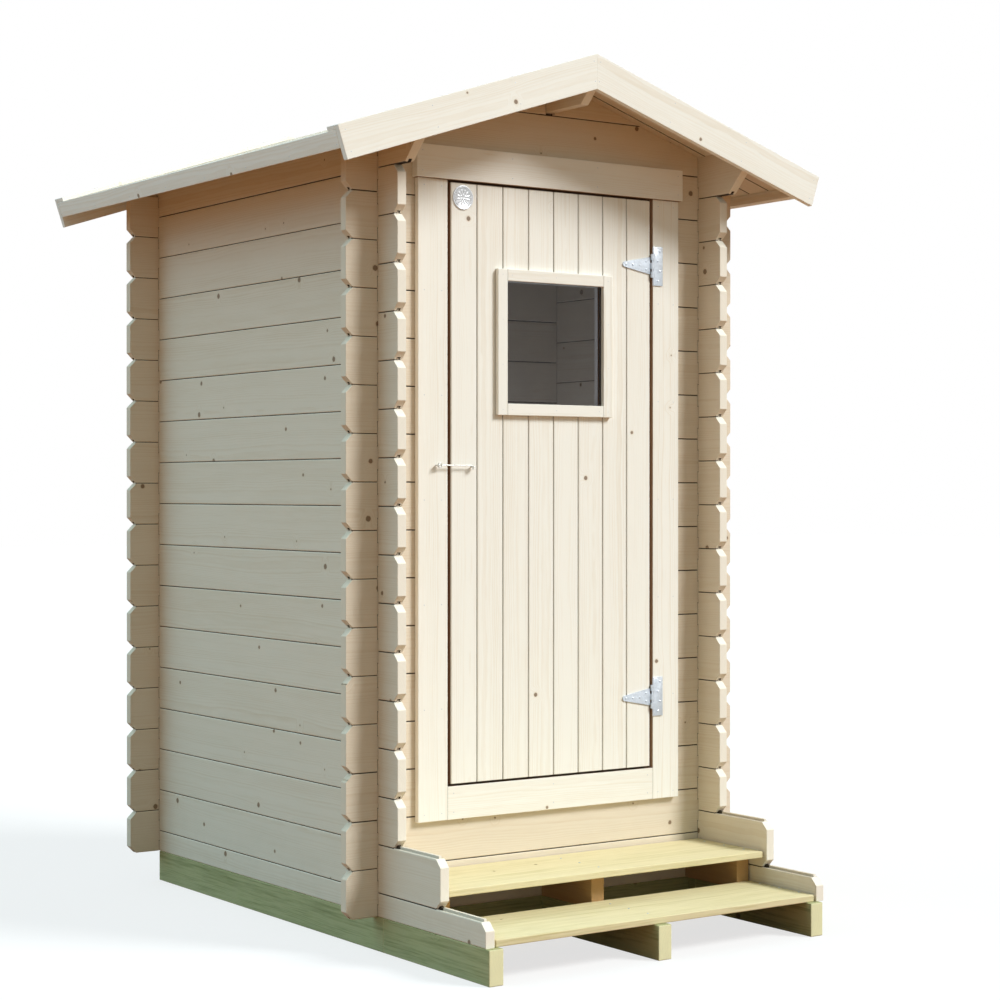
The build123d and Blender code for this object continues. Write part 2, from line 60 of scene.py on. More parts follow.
# ------------------------------------------------------------------ fixed sizes, in metres and radians
MERGE = 1e-6             # vertices closer than this are one
FLAT = math.radians(1)   # faces closer in direction than this are one flat face
TURN = math.radians(20)  # edges that turn more than this are eased
SEAM = 0.001             # the ridge mitre lies this near the middle
ROOF_PITCH = math.radians(18.2)
LOG_CUT = 0.022          # 45 degree corner cuts of the log ends
LOG_REACH = 0.011        # how near a wall log must be to paint shade into a joint
BOARD_REACH = 0.0046     # the same for floor and roof boards
GAP_REACH = 0.017        # the same for what stands round the door
JOINT_WIDTH = 0.012      # wider faces never lie in a joint
JOINT_LOOKS = 8          # directions in which a face's outlook is tried
LIFT = 0.00005           # a look starts this far off its face
SQUARE = 0.999           # a face lies square to an axis when its normal reaches this along it
OPEN_STEP = 0.4          # a square step beside an uncovered tongue is open above and takes less painted shade
RING = 0.006             # latch rings, to the middle of the wire
WIRE = 0.00175           # radius of the latch wire
BEND = 0.004             # bend of the hook's tip
HINGE_FACE = 0.0033      # outer face of the hinge plates, in front of the casing
HINGE_EASE = 0.0004      # rounding of the hinges' edges
STRAP_TIP = 0.008        # radius of a strap's rounded tip, from whose middle its screws are counted
STRAP_SCREWS = ((0.004, 0), (0.030, 0), (0.056, 0), (0.080, 0.012), (0.080, -0.012))  # run, rise
PLATE_SCREWS = ((0.12, 0.018), (0.37, 0.010), (0.63, 0.018), (0.88, 0.010))  # share of height, inset

# ------------------------------------------------------------------ CAD nodes by place
SIDE_LOGS = ("left_wall", "right_wall", "wall_plates", "ridge_purlin")
LOG_NODES = ("left_wall", "right_wall", "wall_plates", "front_wall_foot", "front_sill_log",
             "front_lintel_log", "front_wall_left", "front_wall_right", "front_gable",
             "rear_wall", "rear_gable", "partition_wall", "ridge_purlin")
DOORWAY = ("door_boards", "door_casings", "door_header", "door_frame", "door_stops",
           "front_wall_left", "front_wall_right", "front_sill_log", "front_lintel_log")

# ------------------------------------------------------------------ stage
KEY_LAMP = {"softness": 20, "colour": (0.975, 1.0, 1.0), "bearing": (40, 41)}
FILL_LAMP = {"softness": 60, "colour": (0.42, 0.77, 1.0), "bearing": (-126, 36)}
SKY_COLOUR = (0.84, 1.0, 0.93, 1)
ROOM_LAMP_POWER = 1.25   # watts
ROOM_LAMP_COLOUR = (0.78, 0.88, 1.0)
ROOM_LAMP_RADIUS = 0.12
GROUND_HALF = 40         # the floor reaches this far each way
GROUND_DROP = 0.0005     # the floor lies this far under the bearers
GROUND_GLOW = 0.72       # share of the floor that stays white in the shadow
EARTH = (0.30, 0.125, 0.045, 1)  # the floor as it lights the undersides

# ------------------------------------------------------------------ kinds of settings and sockets
SMALL = {"min": 0.0002, "unit": "LENGTH", "precision": 4}
LINEAR = {"subtype": "COLOR", "size": 3, "min": 0, "max": 1}
VALUE, VECTOR = "NodeSocketFloat", "NodeSocketVector"


# ------------------------------------------------------------------ sizes and colours
class TimberSizes(bpy.types.PropertyGroup):
    """Sizes of the boards and of the eased edges."""

    log_edge: FloatProperty(
        name="Log Edge", description="Rounding of the wall logs' planed edges",
        default=0.0012, max=0.004, **SMALL)
    board_edge: FloatProperty(
        name="Board Edge", description="Rounding of planed boards' edges",
        default=0.0014, max=0.004, **SMALL)
    beam_edge: FloatProperty(
        name="Beam Edge", description="Rounding of the treated beams' and treads' edges",
        default=0.0025, max=0.006, **SMALL)
    roof_boards: IntProperty(
        name="Roof Boards", description="Boards in each roof slope", default=20, min=4, max=60)
    floor_boards: IntProperty(
        name="Floor Boards", description="Boards in the floor", default=12, min=3, max=40)
    board_joint: FloatProperty(
        name="Board Joint", description="Bevel of the V joints between roof and floor boards",
        default=0.003, max=0.008, **SMALL)


class TimberColours(bpy.types.PropertyGroup):
    """Colours of the timber, metal and glass, as linear values."""

    spruce: FloatVectorProperty(
        name="Spruce", description="Pale early wood of the planed spruce",
        default=(0.78, 0.685, 0.56), **LINEAR)
    spruce_ring: FloatVectorProperty(
        name="Spruce Ring", description="Late wood of the planed spruce",
        default=(0.62, 0.47, 0.30), **LINEAR)
    board: FloatVectorProperty(
        name="Board", description="Pale early wood of the door, casings and bargeboards",
        default=(0.95, 0.93, 0.87), **LINEAR)
    board_ring: FloatVectorProperty(
        name="Board Ring", description="Late wood of the door, casings and bargeboards",
        default=(0.72, 0.58, 0.40), **LINEAR)
    knot: FloatVectorProperty(
        name="Knot", description="Heart of a knot",
        default=(0.16, 0.085, 0.04), **LINEAR)
    treated: FloatVectorProperty(
        name="Treated", description="Early wood of the pressure-treated beams",
        default=(0.43, 0.43, 0.22), **LINEAR)
    treated_ring: FloatVectorProperty(
        name="Treated Ring", description="Late wood of the pressure-treated beams",
        default=(0.14, 0.17, 0.055), **LINEAR)
    tread: FloatVectorProperty(
        name="Tread", description="Early wood of the pale treated treads",
        default=(0.76, 0.67, 0.42), **LINEAR)
    tread_ring: FloatVectorProperty(
        name="Tread Ring", description="Late wood of the pale treated treads",
        default=(0.50, 0.43, 0.17), **LINEAR)
    zinc: FloatVectorProperty(
        name="Zinc", description="Galvanised fittings",
        default=(0.62, 0.66, 0.71), **LINEAR)
    glass: FloatVectorProperty(
        name="Glass", description="Tinted pane",
        default=(0.60, 0.61, 0.66), **LINEAR)


class StudioSettings(bpy.types.PropertyGroup):
    """Camera place and light levels."""

    camera_place: FloatVectorProperty(
        name="Camera Place", description="Where the camera stands", subtype="TRANSLATION",
        unit="LENGTH", size=3, default=(-3.7682, -5.8455, 1.2713))
    camera_heading: FloatProperty(
        name="Camera Heading", description="Direction of view, from the front's right-hand axis",
        default=math.radians(55.134), subtype="ANGLE")
    camera_pitch: FloatProperty(
        name="Camera Pitch", description="Rise of the view above level",
        default=math.radians(-0.2726), subtype="ANGLE")
    lens: FloatProperty(
        name="Lens", description="Focal length on a 36 mm sensor", default=79.166, min=20, max=200,
        unit="CAMERA")
    key_strength: FloatProperty(
        name="Key Strength", description="Strength of the large key light", default=3.25, min=0, max=20)
    sky_strength: FloatProperty(
        name="Sky Strength", description="Strength of the even room light", default=0.42, min=0, max=5)
    fill_strength: FloatProperty(
        name="Fill Strength", description="Strength of the broad cool fill on the left", default=1.55,
        min=0, max=20)


# ------------------------------------------------------------------ mesh helpers
def settings(group):
    """One of this add-on's property groups on the scene."""
    return getattr(bpy.context.scene, "outhouse_" + group)


def cad_copy(node):
    """A merged copy of a CAD node as a bmesh, whose flat faces are joined."""
    bm = bmesh.new()
    bm.from_mesh(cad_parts[node].data)
    bmesh.ops.remove_doubles(bm, verts=bm.verts, dist=MERGE)
    bmesh.ops.dissolve_limit(bm, angle_limit=FLAT, verts=bm.verts, edges=bm.edges)
    for face in bm.faces:
        face.material_index = 0
        face.smooth = False
    return bm


def ease_edges(bm, size, segments=2, ridge_seam=False):
    """Round the sharp outer edges and mark the rounded faces as worn.

    ridge_seam leaves the tight mitre under the ridge sharp."""
    worn = bm.faces.layers.float.get("worn_edge") or bm.faces.layers.float.new("worn_edge")
    sharp = []
    for edge in bm.edges:
        if edge.is_manifold and edge.calc_length() > 3 * size:
            mitre = ridge_seam and all(abs(v.co.x) < SEAM for v in edge.verts)
            if edge.calc_face_angle_signed() > TURN and not mitre:
                sharp.append(edge)
    rounded = bmesh.ops.bevel(
        bm, geom=sharp, offset=size, offset_type="OFFSET", affect="EDGES",
        segments=segments, profile=0.5, material=-1, clamp_overlap=False)
    for face in rounded["faces"]:
        face[worn] = 1.0


def axis_vector(axis, length=1.0):
    """The vector of a length along an axis, by the axis's number."""
    return Vector([length if i == axis else 0.0 for i in range(3)])


def box_of(spots):
    """The lowest and highest corner of some points."""
    return [Vector([pick(spot[i] for spot in spots) for i in range(3)]) for pick in (min, max)]


def cut_across(bm, axis, place):
    """Cut every face where it crosses a plane square to an axis."""
    normal = axis_vector(axis)
    geometry = bm.verts[:] + bm.edges[:] + bm.faces[:]
    bmesh.ops.bisect_plane(bm, geom=geometry, dist=MERGE, plane_co=normal * place, plane_no=normal)


def surface_of(nodes):
    """A search tree of CAD nodes' surfaces."""
    corners, faces = [], []
    for name in nodes:
        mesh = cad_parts[name].data
        start = len(corners)
        corners.extend(v.co.copy() for v in mesh.vertices)
        faces.extend([start + i for i in p.vertices] for p in mesh.polygons)
    return BVHTree.FromPolygons(corners, faces)


def shade_joints(bm, reach, near=(), corners=False):
    """Mark the narrow faces in a joint for painted shade, by the share of their outlook blocked within reach.

    near names the CAD nodes that may block it beside the piece itself. With corners, the
    wider faces are marked too, for a painted warm bounce and painted shade in the corner."""
    joint = bm.faces.layers.float.new("joint_shade")
    corner = bm.faces.layers.float.new("corner_shade")
    bm.normal_update()
    around = [BVHTree.FromBMesh(bm)]
    if near:
        around.append(surface_of(near))
    for face in bm.faces:
        narrow = face.calc_area() < JOINT_WIDTH * max(e.calc_length() for e in face.edges)
        if not (narrow or corners):
            continue
        side = face.normal.orthogonal().normalized()
        start = face.calc_center_median() + face.normal * LIFT
        blocked = 0
        for look in range(JOINT_LOOKS):
            ray = face.normal + Matrix.Rotation(math.tau * look / JOINT_LOOKS, 3, face.normal) @ side
            hits = [tree.ray_cast(start, ray.normalized(), reach) for tree in around]
            if any(hit[0] is not None and hit[1] @ ray < 0 for hit in hits):
                blocked += 1
        square = max(abs(part) for part in face.normal) > SQUARE
        if narrow and square and blocked < JOINT_LOOKS / 2:
            blocked *= OPEN_STEP
        face[joint if narrow else corner] = blocked / JOINT_LOOKS


def split_at_ends(bm, axis):
    """Split long faces where a log ends or its corner cuts begin, so each part is shaded alone."""
    places = set()
    for solid in solids_of(bm):
        spread = [v.co[axis] for v in solid]
        for end, inward in ((min(spread), LOG_CUT), (max(spread), -LOG_CUT)):
            places.update((round(end, 4), round(end + inward, 4)))
    for place in sorted(places):
        cut_across(bm, axis, place)


def round_surfaces(bm, limit=math.radians(35)):
    """Shade curved surfaces smooth and keep their corners sharp."""
    for face in bm.faces:
        face.smooth = True
    for edge in bm.edges:
        edge.smooth = edge.is_manifold and edge.calc_face_angle() < limit


def cut_boards(bm, axis, low, high, count):
    """Cut a slab into boards across an axis, each a closed solid."""
    for index in range(1, count):
        place = low + (high - low) * index / count
        cut_across(bm, axis, place)
        on_cut = [v for v in bm.verts if abs(v.co[axis] - place) < MERGE * 10]
        seam = [e for e in bm.edges if e.verts[0] in on_cut and e.verts[1] in on_cut]
        bmesh.ops.split_edges(bm, edges=seam)
        loops = [e for e in bm.edges if e.is_boundary]
        bmesh.ops.holes_fill(bm, edges=loops, sides=0)


def solids_of(bm):
    """The separate solids of a bmesh, as lists of vertices, in order of place."""
    waiting = set(bm.verts)
    solids = []
    while waiting:
        start = waiting.pop()
        solid = [start]
        front = [start]
        while front:
            for edge in front.pop().link_edges:
                for vert in edge.verts:
                    if vert in waiting:
                        waiting.remove(vert)
                        solid.append(vert)
                        front.append(vert)
        solids.append(solid)
    return sorted(solids, key=lambda s: [round(min(v.co[i] for v in s), 3) for i in (2, 0, 1)])


def solid_boxes(node):
    """The lowest and highest corner of each solid of a CAD node."""
    bm = cad_copy(node)
    boxes = [box_of([v.co for v in solid]) for solid in solids_of(bm)]
    bm.free()
    return boxes


def leveller(solid, pitch):
    """The turn that brings a solid of the left or right roof slope level."""
    side = 1 if sum(v.co.x for v in solid) > 0 else -1
    return Matrix.Rotation(-side * pitch, 3, "Y")


def lay_grain(bm, name, pitch=0.0, along=None):
    """Give each board its own place in a tree, so that rings and knots run true through it.

    pitch is that of boards on the roof's slopes; along names the grain's axis where it
    isn't the longest one."""
    place = bm.verts.layers.float_vector.new("grain_place")
    tone = bm.verts.layers.float.new("board_tone")
    end = bm.faces.layers.float.new("end_grain")
    bm.normal_update()
    draw = random.Random(name)
    for solid in solids_of(bm):
        turn = leveller(solid, pitch)
        spots = [turn @ v.co for v in solid]
        low, high = box_of(spots)
        size = high - low
        order = sorted(range(3), key=lambda i: -size[i])
        if along is not None:
            order = [along] + [i for i in order if i != along]
        middle = (low + high) / 2
        start = draw.uniform(0, 60)
        across = draw.uniform(-0.45, 0.45) * size[order[1]]
        depth = draw.choice((-1, 1)) * draw.uniform(0.035, 0.10)
        shade = draw.random()
        for vert, spot in zip(solid, spots):
            spot = spot - middle
            vert[place] = (spot[order[0]] + start, spot[order[1]] - across, spot[order[2]] - depth)
            vert[tone] = shade
        grain = turn.transposed() @ axis_vector(order[0])
        for face in {f for v in solid for f in v.link_faces}:
            face[end] = 1.0 if abs(face.normal @ grain) > 0.5 else 0.0


def finish_piece(bm, name, material, slot, body, *replaced):
    """Turn a bmesh into a piece that rides on a body and stands for CAD nodes."""
    bmesh.ops.recalc_face_normals(bm, faces=bm.faces)
    mesh = bpy.data.meshes.new(name)
    bm.to_mesh(mesh)
    bm.free()
    piece = bpy.data.objects.new(name, mesh)
    bpy.context.scene.collection.objects.link(piece)
    mesh.materials.append(material)
    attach(piece, body)
    if replaced:
        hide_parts(*replaced)
    return piece


def timber(name, node, material, slot, edge, body="cabin", along=None, reach=None, pitch=0.0, near=()):
    """Dress one CAD node of logs, beams or boards: eased edges, painted shade in joints (and in corners, for
    all but logs) and grain.
    """
    bm = cad_copy(node)
    ease_edges(bm, edge, ridge_seam=pitch > 0)
    if slot == "log":
        split_at_ends(bm, along)
    if reach:
        shade_joints(bm, reach, [other for other in near if other != node], slot != "log")
    lay_grain(bm, name, pitch, along)
    return finish_piece(bm, name, material, slot, body, node)


def facing(spot, outward):
    """A matrix that puts a shape on a surface, its Z along outward."""
    return Matrix.Translation(spot) @ Vector(outward).to_track_quat("Z", "Y").to_matrix().to_4x4()


def board_spots(bm, axis, side, edge, spacing, pitch=0.0):
    """Fixing places on one side of each board: two lines along it, or one on a narrow board."""
    found = []
    for solid in solids_of(bm):
        turn = leveller(solid, pitch)
        spots = [turn @ v.co for v in solid]
        low, high = box_of(spots)
        size = high - low
        face_side = side or (1 if sum(v.co.x for v in solid) > 0 else -1)
        along, across = sorted((i for i in range(3) if i != axis), key=lambda i: -size[i])
        rows = max(2, round((size[along] - 2 * edge) / spacing) + 1)
        lines = (-1, 1) if size[across] > 4 * edge else (0,)
        outward = turn.transposed() @ axis_vector(axis, face_side)
        for row in range(rows):
            for line in lines:
                spot = (low + high) / 2
                spot[axis] = high[axis] if face_side > 0 else low[axis]
                spot[along] = low[along] + edge + (size[along] - 2 * edge) * row / (rows - 1)
                spot[across] += line * (size[across] / 2 - edge)
                found.append((turn.transposed() @ spot, outward))
    bm.free()
    return found


def nail_heads(name, found, body="cabin", radius=0.0016):
    """Small bevelled nail heads, set almost flush."""
    bm = bmesh.new()
    for spot, outward in found:
        bmesh.ops.create_cone(bm, cap_ends=True, segments=10, radius1=radius, radius2=radius * 0.8,
                              depth=0.0008, matrix=facing(spot, outward))
    return finish_piece(bm, name, bpy.data.materials["zinc"], "galvanised", body)


def screw_heads(name, found, body="cabin", radius=0.0034):
    """Domed screw heads with a cross recess."""
    bm = bmesh.new()
    rise = radius * 0.34
    bmesh.ops.create_cone(bm, cap_ends=True, segments=20, radius1=radius, radius2=radius * 0.94, depth=rise,
                          matrix=Matrix.Translation((0, 0, rise / 2)))
    top = max(bm.faces, key=lambda f: f.calc_center_median().z)
    bmesh.ops.inset_region(bm, faces=[top], thickness=radius * 0.35, depth=rise * 0.5)
    half, reach = radius * 0.13, radius * 0.52
    crown = max(v.co.z for v in bm.verts) - rise * 0.1
    for normal in (axis_vector(0), axis_vector(1)):
        for place in (-reach, -half, half, reach):
            flat = [f for f in bm.faces if f.calc_center_median().z > crown]
            geometry = list({v for f in flat for v in f.verts} | {e for f in flat for e in f.edges}) + flat
            bmesh.ops.bisect_plane(bm, geom=geometry, dist=MERGE, plane_co=normal * place, plane_no=normal)
    cross = []
    for face in bm.faces:
        middle = face.calc_center_median()
        small, large = sorted((abs(middle.x), abs(middle.y)))
        if middle.z > crown and small < half and large < reach:
            cross.append(face)
    sunk = bmesh.ops.extrude_face_region(bm, geom=cross)["geom"]
    verts = [g for g in sunk if isinstance(g, bmesh.types.BMVert)]
    bmesh.ops.translate(bm, verts=verts, vec=(0, 0, -rise * 0.9))
    shape = bm.verts[:] + bm.edges[:] + bm.faces[:]
    for index, (spot, outward) in enumerate(found):
        made = bmesh.ops.duplicate(bm, geom=shape)["geom"]
        verts = [g for g in made if isinstance(g, bmesh.types.BMVert)]
        turn = Matrix.Rotation(index * 2.1, 4, "Z")
        bmesh.ops.transform(bm, matrix=facing(spot, outward) @ turn, verts=verts)
    bmesh.ops.delete(bm, geom=[g for g in shape if isinstance(g, bmesh.types.BMVert)], context="VERTS")
    return finish_piece(bm, name, bpy.data.materials["zinc"], "galvanised", body)


def wire_start(bm, spot, direction, radius):
    """The round section that a wire is drawn from."""
    made = bmesh.ops.create_circle(bm, cap_ends=True, segments=12, radius=radius,
                                   matrix=facing(spot, direction))
    return made["verts"][0].link_faces[0]


def wire_straight(bm, face, run):
    """Draw a wire on along a straight line."""
    made = bmesh.ops.extrude_face_region(bm, geom=[face])["geom"]
    bmesh.ops.translate(bm, verts=[g for g in made if isinstance(g, bmesh.types.BMVert)], vec=run)
    return next(g for g in made if isinstance(g, bmesh.types.BMFace))


def wire_bend(bm, face, centre, axis, angle):
    """Draw a wire on round a bend."""
    geometry = [face, *face.edges, *face.verts]
    made = bmesh.ops.spin(bm, geom=geometry, cent=centre, axis=axis, angle=angle, steps=10,
                          use_merge=False, use_duplicate=False)["geom_last"]
    return next(g for g in made if isinstance(g, bmesh.types.BMFace))


def wire_ring(bm, centre, axis, ring, radius):
    """A closed ring of wire."""
    out = Vector(axis).orthogonal().normalized()
    place = facing(Vector(centre) + out * ring, Vector(axis).cross(out))
    start = bmesh.ops.create_circle(bm, cap_ends=False, segments=12, radius=radius, matrix=place)["verts"]
    geometry = start + list({e for v in start for e in v.link_edges})
    bmesh.ops.spin(bm, geom=geometry, cent=centre, axis=axis, angle=math.tau, steps=28,
                   use_merge=True, use_duplicate=False)
    bmesh.ops.remove_doubles(bm, verts=bm.verts, dist=MERGE)


# ------------------------------------------------------------------ shader helpers
class Tree:
    """Adds nodes to a node tree and links them by socket."""

    def __init__(self, tree):
        self.tree = tree

    def node(self, kind, inputs=None, **values):
        made = self.tree.nodes.new(kind)
        for key, value in values.items():
            setattr(made, key, value)
        for key, value in (inputs or {}).items():
            if isinstance(value, bpy.types.NodeSocket):
                self.tree.links.new(value, made.inputs[key])
            else:
                made.inputs[key].default_value = value
        return made

    def math(self, operation, a, b=0.0, clamp=False):
        return self.node("ShaderNodeMath", {0: a, 1: b}, operation=operation, use_clamp=clamp).outputs[0]

    def times(self, a, b):
        return self.math("MULTIPLY", a, b)

    def about(self, value, reach):
        """A value about 0.5 turned into one about 0, drawn out to a reach."""
        return self.times(self.math("SUBTRACT", value, 0.5), reach)

    def attribute(self, name, output="Fac"):
        return self.node("ShaderNodeAttribute", attribute_name=name).outputs[output]

    def vector(self, x, y, z):
        return self.node("ShaderNodeCombineXYZ", {0: x, 1: y, 2: z}).outputs[0]

    def noise(self, vector, scale, detail=2.0, rough=0.5):
        made = self.node("ShaderNodeTexNoise", {
            "Vector": vector, "Scale": scale, "Detail": detail, "Roughness": rough})
        return made.outputs["Fac"]

    def ramp(self, value, low, high, start=0.0, end=1.0):
        inputs = {"Value": value, "From Min": low, "From Max": high, "To Min": start, "To Max": end}
        return self.node(
            "ShaderNodeMapRange", inputs, clamp=True, interpolation_type="SMOOTHSTEP").outputs[0]

    def mix(self, share, first, second):
        made = self.node("ShaderNodeMix", data_type="RGBA", blend_type="MIX", clamp_factor=True)
        for socket, value in ((made.inputs[0], share), (made.inputs[6], first), (made.inputs[7], second)):
            if isinstance(value, bpy.types.NodeSocket):
                self.tree.links.new(value, socket)
            else:
                plain = hasattr(value, "__len__") and len(value) == 3
                socket.default_value = (*value, 1.0) if plain else value
        return made.outputs[2]


def new_group(name, inputs, outputs):
    """A shader node group with named sockets; returns its Tree and its input and output nodes."""
    group = bpy.data.node_groups.new(name, "ShaderNodeTree")
    for title, kind, default in inputs:
        socket = group.interface.new_socket(title, in_out="INPUT", socket_type=kind)
        if default is not None:
            socket.default_value = default
    for title, kind in outputs:
        group.interface.new_socket(title, in_out="OUTPUT", socket_type=kind)
    tree = Tree(group)
    return tree, tree.node("NodeGroupInput").outputs, tree.node("NodeGroupOutput").inputs


def group_node(tree, group, inputs):
    """Place a node group in a material and return its outputs."""
    return tree.node("ShaderNodeGroup", inputs, node_tree=bpy.data.node_groups[group]).outputs


def growth_rings_group():
    """Annual rings about the pith, drawn aside by knots, with streaks of fibre."""
    tree, given, out = new_group(
        "growth_rings",
        [("Place", VECTOR, None), ("Spacing", VALUE, 0.0032), ("Knot Share", VALUE, 0.4),
         ("Knot Size", VALUE, 1.0)],
        [("Ring", VALUE), ("Streak", VALUE), ("Cloud", VALUE), ("Knot", VALUE), ("Knot Rim", VALUE)])
    wander, wobble, swell = 0.045, 0.0022, 0.009    # of the pith, of a ring and round a knot, in metres
    knots_to_the_metre, fray = 6.5, 0.016
    parts = tree.node("ShaderNodeSeparateXYZ", {0: given["Place"]}).outputs
    run, width, depth = parts[0], parts[1], parts[2]

    def grain_noise(along, across, detail=2.0, rough=0.5):
        """Noise with so many waves to the metre along the grain and across it."""
        drawn = tree.vector(tree.times(run, along), tree.times(width, across), tree.times(depth, across))
        return tree.noise(drawn, 1.0, detail, rough)

    drifted = tree.math("ADD", width, tree.about(grain_noise(1.6, 5.0), wander))
    radius = tree.math("SQRT", tree.math("ADD", tree.times(drifted, drifted), tree.times(depth, depth)))

    # knots: one in some cells of a pattern on the board's face, each of its own size
    cell = tree.node("ShaderNodeTexVoronoi", {
        "Vector": tree.vector(run, width, 0.0), "Scale": knots_to_the_metre, "Randomness": 1.0},
        voronoi_dimensions="2D", feature="F1").outputs
    chance = tree.node("ShaderNodeSeparateColor", {0: cell["Color"]}).outputs
    present = tree.math("LESS_THAN", chance[0], given["Knot Share"])
    size = tree.times(tree.ramp(chance[1], 0.0, 1.0, 0.012, 0.042), given["Knot Size"])
    ragged = tree.about(tree.noise(given["Place"], 160.0, 2.0), fray)
    beyond = tree.math("SUBTRACT", tree.math("ADD", cell["Distance"], ragged), size)
    knot = tree.times(present, tree.ramp(beyond, -0.006, 0.006, 1.0, 0.0))
    rim = tree.times(present, tree.ramp(beyond, 0.0, 0.035, 1.0, 0.0))
    bulge = tree.times(present, tree.ramp(beyond, -0.02, 0.16, 1.0, 0.0))
    radius = tree.math("ADD", radius, tree.times(bulge, swell))

    # rings: late wood darkens towards each year's end, some years more than others
    wavy = tree.math("ADD", radius, tree.about(grain_noise(9.0, 60.0), wobble))
    count = tree.math("DIVIDE", wavy, given["Spacing"])
    fraction = tree.math("FRACT", count)
    late = tree.times(tree.ramp(fraction, 0.25, 0.9), tree.ramp(fraction, 0.9, 1.0, 1.0, 0.0))
    year = tree.node("ShaderNodeTexWhiteNoise", {"W": tree.math("FLOOR", count)},
                     noise_dimensions="1D").outputs[0]
    ring = tree.times(late, tree.ramp(year, 0.0, 1.0, 0.45, 1.0))

    # streaks: fine, broad and middling fibre
    streak = tree.math("ADD", tree.times(grain_noise(14.0, 420.0, 3.0, 0.6), 0.25),
                       tree.times(grain_noise(2.2, 38.0, 3.0, 0.6), 0.35))
    streak = tree.math("ADD", streak, tree.times(grain_noise(7.0, 135.0, 4.0, 0.65), 0.4))
    made = {"Ring": ring, "Streak": tree.ramp(streak, 0.30, 0.70), "Cloud": grain_noise(1.3, 4.0),
            "Knot": knot, "Knot Rim": rim}
    for name, value in made.items():
        tree.tree.links.new(value, out[name])


def ground_dust_group():
    """Splashed dust low down and a faint bloom in patches, by height above the ground."""
    tree, given, out = new_group(
        "ground_dust",
        [("Object Place", VECTOR, None), ("Reach", VALUE, 0.35), ("Amount", VALUE, 0.12)],
        [("Dust", VALUE)])
    height = tree.node("ShaderNodeSeparateXYZ", {0: given["Object Place"]}).outputs[2]
    low = tree.math("SUBTRACT", 1.0, tree.math("DIVIDE", height, given["Reach"]), clamp=True)
    patches = tree.ramp(tree.noise(given["Object Place"], 14.0, 4.0, 0.6), 0.35, 0.75)
    dust = tree.math("MULTIPLY", tree.times(low, patches), given["Amount"], clamp=True)
    tree.tree.links.new(dust, out["Dust"])


def new_material(name):
    """A material with a Principled BSDF; returns it, its Tree and the shader's inputs."""
    material = bpy.data.materials.new(name)
    material.use_nodes = True
    tree = Tree(material.node_tree)
    return material, tree, material.node_tree.nodes["Principled BSDF"].inputs


def timber_material(name, early, late, spacing=0.0032, knots=0.3, contrast=0.30, streaks=0.22, rough=0.66,
                    end_colour=None, grip=0.25, knot_size=1.0, gloss=0.2,
                    joint_painted_shade=(0.045, 0.03, 0.018), joint_depth=0.93, joint_full=0.42):
    """A wood finish that follows each board's grain.

    contrast and streaks are the shares of late wood in rings and in fibre; grip is the depth
    of the grain's relief. A joint is darkened with painted shade, up to joint_depth, where joint_full of
    its outlook is blocked; wider faces marked as lying in a corner get a painted warm bounce and painted
    shade."""
    cloud_share, tone_share = 0.25, 0.10
    # painted light and shade: an orange for the warm bounce in corners and a deep brown for shade in gaps
    dust_colour, painted_warm_bounce, painted_deep_shade = (0.42, 0.37, 0.29), (0.55, 0.30, 0.15), (0.12, 0.055, 0.025)
    _, tree, shader = new_material(name)
    end, joint, corner = (tree.attribute(key) for key in ("end_grain", "joint_shade", "corner_shade"))
    rings = group_node(tree, "growth_rings", {
        "Place": tree.attribute("grain_place", "Vector"), "Spacing": spacing, "Knot Share": knots,
        "Knot Size": knot_size})
    share = tree.math("ADD", tree.times(rings["Ring"], contrast), tree.about(rings["Streak"], streaks))
    share = tree.math("ADD", share, tree.about(rings["Cloud"], cloud_share))
    share = tree.math("ADD", share, tree.about(tree.attribute("board_tone"), tone_share), clamp=True)
    colour = tree.mix(share, early, late)
    end_base = end_colour or early
    end_base = tree.mix(tree.times(rings["Ring"], 0.5), end_base, [v * 0.8 for v in end_base])
    colour = tree.mix(end, colour, end_base)
    colour = tree.mix(tree.times(rings["Knot Rim"], 0.35), colour, late)
    colour = tree.mix(tree.times(rings["Knot"], 0.8), colour, tuple(settings("colours").knot))
    rubbed = [min(1.0, v * 1.12) for v in early]
    colour = tree.mix(tree.times(tree.attribute("worn_edge"), 0.18), colour, rubbed)
    spot = tree.node("ShaderNodeTexCoord").outputs["Object"]
    dust = group_node(tree, "ground_dust", {"Object Place": spot})["Dust"]
    colour = tree.mix(dust, colour, dust_colour)
    # painted warm bounce, then painted deep shade, on faces lying in corners or beside the door gap
    colour = tree.mix(tree.ramp(corner, 0.05, 0.40, 0.0, 0.85), colour, painted_warm_bounce)
    colour = tree.mix(tree.ramp(corner, 0.45, 0.75, 0.0, 0.80), colour, painted_deep_shade)
    # painted shade in joints and gaps: darker where much of a narrow face's outlook is blocked
    colour = tree.mix(tree.ramp(joint, 0.05, joint_full, 0.0, joint_depth), colour, joint_painted_shade)
    roughness = tree.ramp(rings["Streak"], 0.2, 0.8, rough - 0.07, rough + 0.09)
    roughness = tree.math("ADD", roughness, tree.times(end, 0.12), clamp=True)
    height = tree.math("ADD", tree.times(rings["Ring"], 0.5), rings["Streak"])
    height = tree.math("SUBTRACT", height, tree.times(rings["Knot Rim"], 0.3))
    bump = tree.node("ShaderNodeBump", {"Strength": grip, "Distance": 0.0006, "Height": height})
    links = tree.tree.links
    links.new(colour, shader["Base Color"])
    links.new(roughness, shader["Roughness"])
    links.new(bump.outputs[0], shader["Normal"])
    shader["Specular IOR Level"].default_value = gloss


